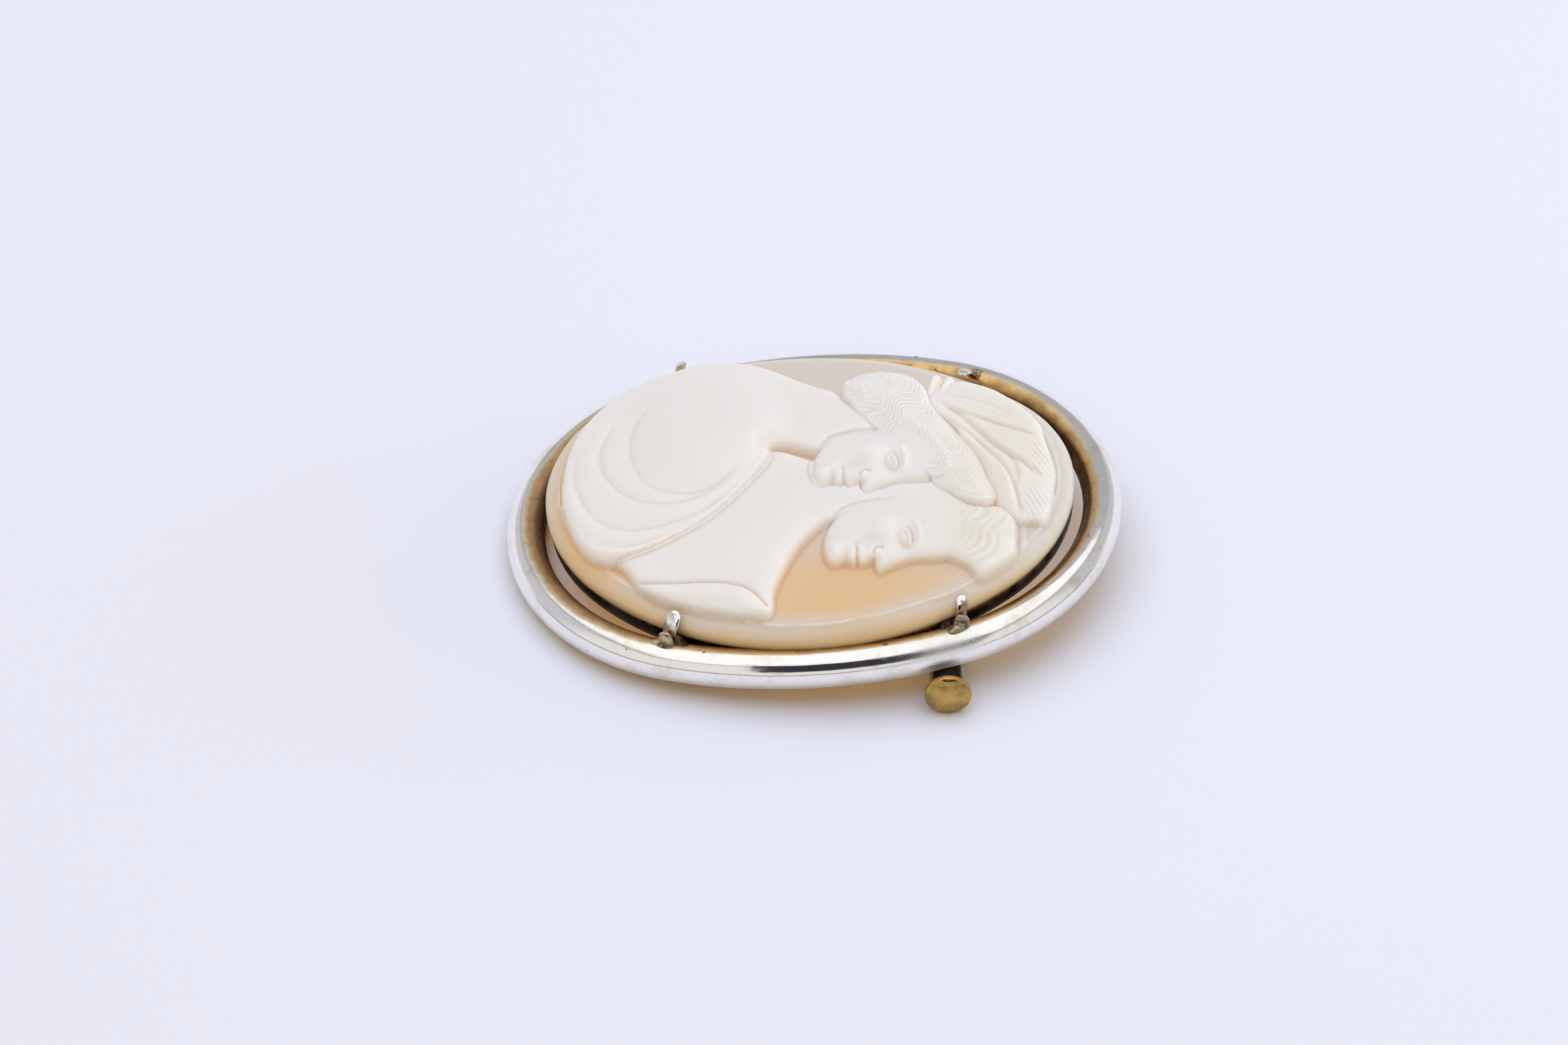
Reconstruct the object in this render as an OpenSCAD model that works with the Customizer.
/* [Rim] */
// Length of the brooch over its rim
brooch_l = 55; // [50:0.5:60]
// Width of the brooch over its rim
brooch_w = 44; // [41:0.5:47]
// Diameter of the rim's round tube
rim_d = 3.44; // [3:0.02:4]
// Radius of the rim's end arcs over half the width of its centre line
rim_fullness = 0.95; // [0.85:0.01:0.97]
// Length of the bead at each joint between the rim's arcs
seam_l = 0.4; // [0.3:0.05:0.8]
// Height of those beads over the tube
seam_h = 0.03; // [0.02:0.01:0.06]

/* [Shell] */
// Length of the carved shell
shell_l = 47.4; // [44:0.2:48]
// Width of the carved shell
shell_w = 39.2; // [37:0.2:41]
// Radius of the shell's end arcs over half its width
shell_fullness = 0.87; // [0.8:0.01:0.95]
// Turn of the shell in the rim, degrees
shell_turn = -4; // [-6:0.5:2]
// How far the shell is domed across its width
shell_sag = 1.5; // [0.5:0.1:2.5]
// Turn of the dome's axis, degrees
dome_turn = -6; // [-12:1:12]
// Thickness of the shell's upright edge
edge_t = 0.6; // [0.4:0.05:1]
// Thickness of the shell's bare ground
ground_t = 1.7; // [1.4:0.05:2.4]
// Width of the rounding from the edge up to the ground
edge_round = 1.3; // [0.8:0.1:2]
// Height of the carving's highest form over the ground
relief_h = 2.4; // [1.2:0.1:3]
// Width of the band inside the edge over which the carving dies away
relief_fade = 1.4; // [0.8:0.1:2.4]

/* [Collar] */
// Height of the collar strip
collar_h = 1.2; // [0.8:0.1:1.6]
// Thickness of the collar strip
collar_t = 0.6; // [0.4:0.05:0.8]
// How far the collar stands in from the shell's edge
collar_inset = 0.4; // [0.2:0.05:0.6]
// Height of the collar's top over the rim's centre line, at the middle of a long side
seat_h = 1.64; // [1.5:0.02:2]
// Clearance under the shell
seat_gap = 0.05; // [0.02:0.01:0.1]

/* [Prongs] */
// Width of a prong
prong_w = 1.05; // [0.8:0.05:1.3]
// Thickness of a prong
prong_t = 0.45; // [0.35:0.05:0.6]
// Clearance between a prong and the shell's edge
prong_gap = 0.12; // [0.05:0.01:0.3]
// Length of a prong's tip over the shell
prong_reach = 1.2; // [0.7:0.05:1.5]
// Angle by which a prong's tip is bent over
prong_lean = 52; // [40:1:65]
// Height of a prong's foot over the rim's centre line
foot_h = 0.6; // [0.3:0.1:1]
// Distance of a prong's foot inside the rim's centre line
foot_in = 0.5; // [0.3:0.05:0.8]
// Radius of the lump of solder at a prong's foot
solder_r = 0.85; // [0.6:0.05:1.1]
// Height of a lump's middle over the rim's centre line
solder_h = 1.15; // [0.8:0.05:1.5]
// Diameter of the solder that runs from a prong's foot to the collar
bridge_d = 0.9; // [0.6:0.05:1]

/* [Clasp] */
// Distance of the pin's line from the middle, towards the top
clasp_x = 11.3; // [9:0.1:14]
// How far the pin's line lies below the rim's centre line
clasp_drop = 2.6; // [2.4:0.05:3]
// Outer diameter of the clasp's tube
tube_d = 3.1; // [2.9:0.05:3.4]
// Bore of the clasp's tube
tube_bore = 2.4; // [2.3:0.02:2.5]
// Length of the clasp's tube
tube_l = 7.5; // [6:0.1:9]
// How far the clasp's tube stands out past the rim
tube_out = 0.9; // [0.5:0.05:1.2]
// Outer diameter of the plunger
plunger_d = 2.26; // [2.1:0.01:2.28]
// Bore of the plunger
plunger_bore = 1.5; // [1.3:0.05:1.7]
// Length of the plunger behind its knob
plunger_l = 9; // [8:0.1:11]
// Diameter of the plunger's knob
knob_d = 4.06; // [3.8:0.02:4.4]
// Thickness of the knob at its rim
knob_t = 0.8; // [0.6:0.05:1.1]
// Height of the knob's domed face
knob_dome = 0.4; // [0.2:0.05:0.6]
// Radius of the knob's rounded rim
knob_round = 0.2; // [0.1:0.05:0.3]
// Gap between the knob and the clasp's tube
knob_gap = 0.12; // [0.05:0.01:0.3]

/* [Pin] */
// Diameter of the pin's stem
pin_d = 1; // [0.8:0.05:1.1]
// Length of the pin's tapered point
point_l = 3; // [2:0.1:4]
// Diameter of the point's blunt end
point_d = 0.2; // [0.1:0.05:0.4]
// How far the pin's point reaches into the plunger
point_in = 3.6; // [2.4:0.1:4]
// Distance of the hinge behind the middle
hinge_y = 16.6; // [15.5:0.1:17]
// Diameter of the pin's barrel
barrel_d = 1.9; // [1.7:0.05:2.1]
// Width of the pin's barrel
barrel_w = 1.3; // [1.1:0.05:1.6]
// Diameter of the hinge's rivet
rivet_d = 0.8; // [0.6:0.05:0.9]
// Running clearance on the rivet and beside the barrel
hinge_gap = 0.06; // [0.04:0.01:0.1]
// Thickness of each hinge cheek
cheek_t = 0.7; // [0.5:0.05:0.9]
// How far the rivet's heads stand out of the cheeks
rivet_head = 0.15; // [0.1:0.05:0.3]

/* [Hidden] */
$fa = 4;
$fs = 0.12;

// The brooch lies on its back on three points: the low end of the rim, the knob and the hinge.
rim_r = rim_d / 2;
knob_r = knob_d / 2;
rim_a = brooch_l / 2 - rim_r;
rim_b = brooch_w / 2 - rim_r;
rest_span = rim_a + clasp_x;
rest_tilt = atan2(clasp_drop, rest_span)
    + asin((knob_r - rim_r) / norm([rest_span, clasp_drop]));
rest_lift = rim_r + rim_a * sin(rest_tilt);

// A four-arc oval: [half length, half width, end radius, side radius, angle of the joints].
function oval(a, b, fullness) =
    let (end_r = fullness * b)
    let (side_r = ((a - end_r) ^ 2 + b ^ 2 - end_r ^ 2) / (2 * (b - end_r)))
    [a, b, end_r, side_r, atan2(side_r - b, a - end_r)];

// The same oval, moved in or out along its normal.
function oval_offset(o, d) = [o[0] + d, o[1] + d, o[2] + d, o[3] + d, o[4]];

// Half width of an oval at a distance along it.
function oval_y(o, x) =
    let (joint_x = o[3] * cos(o[4]))
    let (u = abs(x))
    u < joint_x
    ? sqrt(o[3] ^ 2 - u ^ 2) - (o[3] - o[1])
    : sqrt(max(0, o[2] ^ 2 - (u - o[0] + o[2]) ^ 2));

// The point of an oval whose outward normal has a given direction.
function oval_at(o, normal) =
    let (n = [cos(normal), sin(normal)])
    atan2(abs(n[1]), abs(n[0])) < o[4]
    ? [sign(n[0]) * (o[0] - o[2]) + o[2] * n[0], o[2] * n[1]]
    : [o[3] * n[0], o[3] * n[1] - sign(n[1]) * (o[3] - o[1])];

// Distance from an oval's middle to its outline, in a given direction.
function oval_reach(o, d) =
    let (c = abs(d[0]) / norm(d))
    let (s = abs(d[1]) / norm(d))
    let (end_x = o[0] - o[2])
    let (side_y = o[3] - o[1])
    atan2(s, c) < atan2(o[3] * sin(o[4]) - side_y, o[3] * cos(o[4]))
    ? end_x * c + sqrt(o[2] ^ 2 - (end_x * s) ^ 2)
    : sqrt(o[3] ^ 2 - (side_y * c) ^ 2) - side_y * s;

// Where each prong stands: direction of the shell's outward normal there.
prongs = [246, 302, 59, 119];

// The carving's broad forms. Across is a share of half the shell's width, height one of the
// relief's, and the other lengths are shares of half the shell's length.
// [along, across, half length, half width, turn, height]
forms = [
    // the front figure: dress, shoulder, neck, face, hair, knot of hair
    [-0.49, 0.18, 0.61, 0.47, 51, 0.62],
    [-0.35, 0.37, 0.32, 0.47, 0, 0.96],
    [0.05, 0.42, 0.24, 0.24, -10, 0.8],
    [0.27, 0.05, 0.25, 0.2, 0, 0.88],
    [0.42, 0.26, 0.42, 0.26, -55, 1],
    [0.21, 0.62, 0.11, 0.11, 0, 0.9],
    // the rear figure: dress, neck, face, hair
    [-0.34, -0.58, 0.4, 0.26, -18, 0.46],
    [-0.05, -0.3, 0.22, 0.22, 20, 0.54],
    [0.31, -0.43, 0.25, 0.18, 0, 0.62],
    [0.57, -0.5, 0.2, 0.26, 0, 0.75],
    // the wreath's leaves
    [0.65, -0.1, 0.3, 0.08, -64, 0.76],
    [0.71, 0.02, 0.24, 0.08, -46, 0.72],
    [0.74, 0.16, 0.2, 0.08, -28, 0.7],
    [0.72, 0.31, 0.18, 0.08, -5, 0.68],
    [0.65, 0.42, 0.16, 0.08, 20, 0.66]
];

rim_oval = oval(rim_a, rim_b, rim_fullness);
shell_oval = oval(shell_l / 2, shell_w / 2, shell_fullness);
collar_oval = oval_offset(shell_oval, -collar_inset);
band_oval = oval_offset(collar_oval, -collar_t);

// The dome of the shell's underside: its radius, and the height of its crown.
half_w = shell_w / 2;
dome_r = (half_w ^ 2 + shell_sag ^ 2) / (2 * shell_sag);
crown_h = seat_h + shell_sag;

clasp_rim_y = oval_y(rim_oval, clasp_x);
tube_front = clasp_rim_y + rim_r + tube_out;
knob_back = tube_front + knob_gap;
knob_front = knob_back + knob_t + knob_dome;
plunger_end = knob_back - plunger_l;
point_y = plunger_end + point_in;

// The hinge's cheeks reach down to the surface that the brooch lies on.
cheek_x = barrel_w / 2 + hinge_gap;
cheek_low_x = clasp_x - cheek_x - cheek_t;
cheek_r = (rest_lift + cheek_low_x * sin(rest_tilt)) / cos(rest_tilt) - clasp_drop;

// The middle of the brooch over all, from the knob's face to the back of the rim.
mid_y = (knob_front - brooch_w / 2) / 2;
over = 0.01;

// Steps of the collar's outline, in degrees of its normal, and the cells of the shell's carved face.
band_step = 5;
grid_cols = 60;
grid_rows = 50;

// The rings of the shell's underside, as shares of the way out from its middle.
under_rings = [1, 0.92, 0.5];

// Height of the dome over the rim's centre line, at a point given along the shell.
function dome_z(p) =
    let (v = p[1] * cos(dome_turn) - p[0] * sin(dome_turn))
    crown_h - dome_r + sqrt(dome_r ^ 2 - v ^ 2);

// Puts the flat brooch down on its three points.
module at_rest() {
    translate([0, mid_y, rest_lift])
        rotate([0, -rest_tilt, 0])
            children();
}

// The length of arc left out at a joint, as an angle; the bead there closes it.
function trim(r) = seam_l / 4 / r * 180 / PI;

// An oval's arc of a given radius and middle, a round tube swept to a joint on either side.
module tube_arc(middle, r, from, to) {
    translate(middle)
        rotate([0, 0, from + trim(r)])
            rotate_extrude(angle = to - from - 2 * trim(r))
                translate([r, 0])
                    circle(r = rim_r);
}

// The solid under the shell's domed underside, from above its edge down.
module under_dome(drop) {
    rotate([0, 0, shell_turn + dome_turn])
        translate([0, 0, crown_h - drop - dome_r])
            rotate([0, 90, 0])
                cylinder(h = 2 * shell_l, r = dome_r, center = true, $fa = 0.6);
}

module rim() {
    o = rim_oval;
    for (side = [0, 180])
        rotate([0, 0, side]) {
            tube_arc([o[0] - o[2], 0, 0], o[2], -o[4], o[4]);
            tube_arc([0, o[1] - o[3], 0], o[3], o[4], 180 - o[4]);
        }
    for (normal = [o[4], 180 - o[4], 180 + o[4], 360 - o[4]])
        translate(oval_at(o, normal))
            rotate([90, 0, normal])
                cylinder(h = seam_l, r = rim_r + seam_h, center = true);
}

// A strip that follows the shell's edge, its top and foot cut to the dome.
module collar() {
    low = seat_h - 2 * collar_h;
    difference() {
        intersection() {
            rotate([0, 0, shell_turn])
                translate([0, 0, low])
                    linear_extrude(height = crown_h + collar_h - low)
                        difference() {
                            polygon([for (n = [0:band_step:359]) oval_at(collar_oval, n)]);
                            polygon([for (n = [0:band_step:359]) oval_at(band_oval, n)]);
                        }
            under_dome(0);
        }
        under_dome(collar_h);
    }
}

// A prong's side: its inner face from foot to corner to tip, and its outer face round the bend.
// Measured outwards from the shell's edge and up from the rim's centre line.
function prong_side(foot, corner, tip) =
    let (face = atan2(corner[1] - foot[1], corner[0] - foot[0]) - 90)
    concat(
        [foot, corner, tip, tip + prong_t * [cos(prong_lean), sin(prong_lean)]],
        [for (k = [0:4])
            let (a = prong_lean + (face - prong_lean) * k / 4)
            corner + prong_t * [cos(a), sin(a)]],
        [foot + prong_t * [cos(face), sin(face)]]);

// Height at which a leaning tip's inner face clears the shell's rounded shoulder.
function corner_h(slope) =
    edge_t - slope * (edge_round + prong_gap) + prong_gap * sqrt(1 + slope ^ 2)
    + sqrt((slope * edge_round) ^ 2 + (ground_t - edge_t) ^ 2);

// Distance from the shell's edge out to a prong's foot on the rim.
function foot_out(edge) =
    let (c = cos(shell_turn))
    let (s = sin(shell_turn))
    oval_reach(rim_oval, [edge[0] * c - edge[1] * s, edge[0] * s + edge[1] * c]) - norm(edge) - foot_in;

module prong(normal) {
    edge = oval_at(shell_oval, normal);
    out = foot_out(edge);
    band = collar_inset + collar_t / 2;
    foot = [out, foot_h];
    corner = [prong_gap, dome_z(edge) + seat_gap + corner_h(1 / tan(prong_lean))];
    tip = corner + prong_reach * [-sin(prong_lean), cos(prong_lean)];
    end = prong_reach - prong_w / 2;
    rotate([0, 0, shell_turn])
        translate(edge)
            rotate([0, 0, normal]) {
                intersection() {
                    rotate([90, 0, 0])
                        linear_extrude(height = 2 * prong_w, center = true)
                            polygon(prong_side(foot, corner, tip));
                    translate([corner[0], 0, corner[1]])
                        rotate([0, -90 - prong_lean, 0])
                            linear_extrude(height = 4 * prong_reach, center = true)
                                polygon(concat(
                                    [[-rim_d - prong_reach, -prong_w / 2]],
                                    [for (a = [-90:30:90]) [end, 0] + prong_w / 2 * [cos(a), sin(a)]],
                                    [[-rim_d - prong_reach, prong_w / 2]]));
                }
                translate([out + prong_t / 2, 0, solder_h])
                    sphere(r = solder_r);
                translate([-band, 0, dome_z(edge) - collar_h / 2])
                    rotate([0, 90, 0])
                        cylinder(h = band + out, d = bridge_d);
            }
}

// The clasp's outer tube, lying along the pin's line.
module on_clasp(y) {
    translate([clasp_x, y, -clasp_drop])
        rotate([-90, 0, 0])
            children();
}

// A disc across the hinge, at a distance beside the pin's line.
module hinge_disc(x, w, d) {
    translate([clasp_x + x, hinge_y, -clasp_drop])
        rotate([0, 90, 0])
            cylinder(h = w, d = d, center = true);
}

module setting() {
    color("silver")
        at_rest()
            difference() {
                union() {
                    rim();
                    collar();
                    for (normal = prongs)
                        prong(normal);
                    on_clasp(-tube_front)
                        cylinder(h = tube_l, d = tube_d);
                    for (side = [-1, 1])
                        hinge_disc(side * (cheek_x + cheek_t / 2), cheek_t, 2 * cheek_r);
                    hinge_disc(0, 2 * (cheek_x + cheek_t + rivet_head), rivet_d);
                }
                on_clasp(-tube_front - over)
                    cylinder(h = tube_l + 2 * over, d = tube_bore);
            }
}

// The shell's top and edge are a grid of cells, spread from a square to the oval.
function disc_point(cell) =
    let (u = 2 * cell[0] / grid_cols - 1)
    let (v = 2 * cell[1] / grid_rows - 1)
    [u * sqrt(1 - v ^ 2 / 2), v * sqrt(1 - u ^ 2 / 2)];

function shell_point(d) = norm(d) < over ? [0, 0] : d * oval_reach(shell_oval, d);

// Height of one carved form at a point.
function form_h(p, f) =
    let (dx = p[0] - f[0] * shell_oval[0])
    let (dy = p[1] - f[1] * shell_oval[1])
    let (u = (dx * cos(f[4]) + dy * sin(f[4])) / (f[2] * shell_oval[0]))
    let (v = (dy * cos(f[4]) - dx * sin(f[4])) / (f[3] * shell_oval[0]))
    let (q = u ^ 2 + v ^ 2)
    q < 1 ? f[5] * sqrt(1 - q ^ 2) : 0;

// Thickness of the shell: upright edge, rounded shoulder, then the ground and its carving.
function thickness(p, edge_d) =
    let (s = min(1, edge_d / edge_round))
    let (fade = max(0, min(1, (edge_d - edge_round) / relief_fade)))
    edge_t + (ground_t - edge_t) * sqrt(1 - (1 - s) ^ 2)
    + relief_h * fade * max([for (f = forms) form_h(p, f)]);

function under_point(d) =
    let (p = shell_point(d))
    [p[0], p[1], dome_z(p) + seat_gap];

function top_point(d) =
    let (p = shell_point(d))
    let (edge_d = norm(d) < over ? shell_oval[1] : (1 - min(1, norm(d))) * norm(p) / norm(d))
    under_point(d) + [0, 0, thickness(p, edge_d)];

// The grid's outermost cells, anticlockwise.
edge_count = 2 * (grid_cols + grid_rows);
function edge_cell(k) =
    k < grid_cols ? [k, 0]
    : k < grid_cols + grid_rows ? [grid_cols, k - grid_cols]
    : k < 2 * grid_cols + grid_rows ? [2 * grid_cols + grid_rows - k, grid_rows]
    : [0, edge_count - k];

function top_index(cell) = cell[0] * (grid_rows + 1) + cell[1];
function ring_index(ring, k) = top_index([grid_cols + 1, 0]) + ring * edge_count + k % edge_count;

module cameo() {
    last = len(under_rings) - 1;
    middle = ring_index(last + 1, 0);
    points = concat(
        [for (i = [0:grid_cols], j = [0:grid_rows]) top_point(disc_point([i, j]))],
        [for (share = under_rings, k = [0:edge_count - 1]) under_point(share * disc_point(edge_cell(k)))],
        [under_point([0, 0])]);
    faces = concat(
        [for (i = [0:grid_cols - 1], j = [0:grid_rows - 1])
            let (a = top_index([i, j]), b = top_index([i + 1, j]))
            let (same = (i < grid_cols / 2) == (j < grid_rows / 2))
            each same ? [[a, a + 1, b + 1], [a, b + 1, b]] : [[a, a + 1, b], [a + 1, b + 1, b]]],
        [for (k = [0:edge_count - 1])
            let (a = top_index(edge_cell(k)), b = top_index(edge_cell((k + 1) % edge_count)))
            each [[a, b, ring_index(0, k + 1)], [a, ring_index(0, k + 1), ring_index(0, k)]]],
        [for (r = [0:last - 1], k = [0:edge_count - 1])
            let (a = ring_index(r, k), b = ring_index(r, k + 1))
            let (c = ring_index(r + 1, k + 1), d = ring_index(r + 1, k))
            each [[a, b, c], [a, c, d]]],
        [for (k = [0:edge_count - 1]) [ring_index(last, k), ring_index(last, k + 1), middle]]);
    color("linen")
        at_rest()
            rotate([0, 0, shell_turn])
                polyhedron(points = points, faces = faces);
}

module pin_stem() {
    color("goldenrod")
        at_rest()
            difference() {
                union() {
                    hinge_disc(0, barrel_w, barrel_d);
                    on_clasp(-point_y) {
                        cylinder(h = point_l + over, d1 = point_d, d2 = pin_d);
                        translate([0, 0, point_l])
                            cylinder(h = hinge_y + point_y - point_l, d = pin_d);
                    }
                }
                hinge_disc(0, 2 * barrel_w, rivet_d + 2 * hinge_gap);
            }
}

// The knob's domed face and rim, and behind them the tube with its blind bore.
module clasp_plunger() {
    r = knob_r - knob_round;
    dome = (r ^ 2 + knob_dome ^ 2) / (2 * knob_dome);
    low = knob_dome + knob_round;
    color("goldenrod")
        at_rest()
            on_clasp(-knob_front)
                rotate_extrude()
                    polygon(concat(
                        [for (k = [0:6])
                            let (x = r * k / 6)
                            [x, dome - sqrt(dome ^ 2 - x ^ 2)]],
                        [[knob_r, low], [knob_r, knob_dome + knob_t - knob_round]],
                        [[knob_r - knob_round, knob_dome + knob_t], [plunger_d / 2, knob_dome + knob_t]],
                        [[plunger_d / 2, knob_dome + knob_t + plunger_l]],
                        [[plunger_bore / 2, knob_dome + knob_t + plunger_l]],
                        [[plunger_bore / 2, knob_dome + knob_t], [0, knob_dome + knob_t]]));
}

setting();
cameo();
pin_stem();
clasp_plunger();
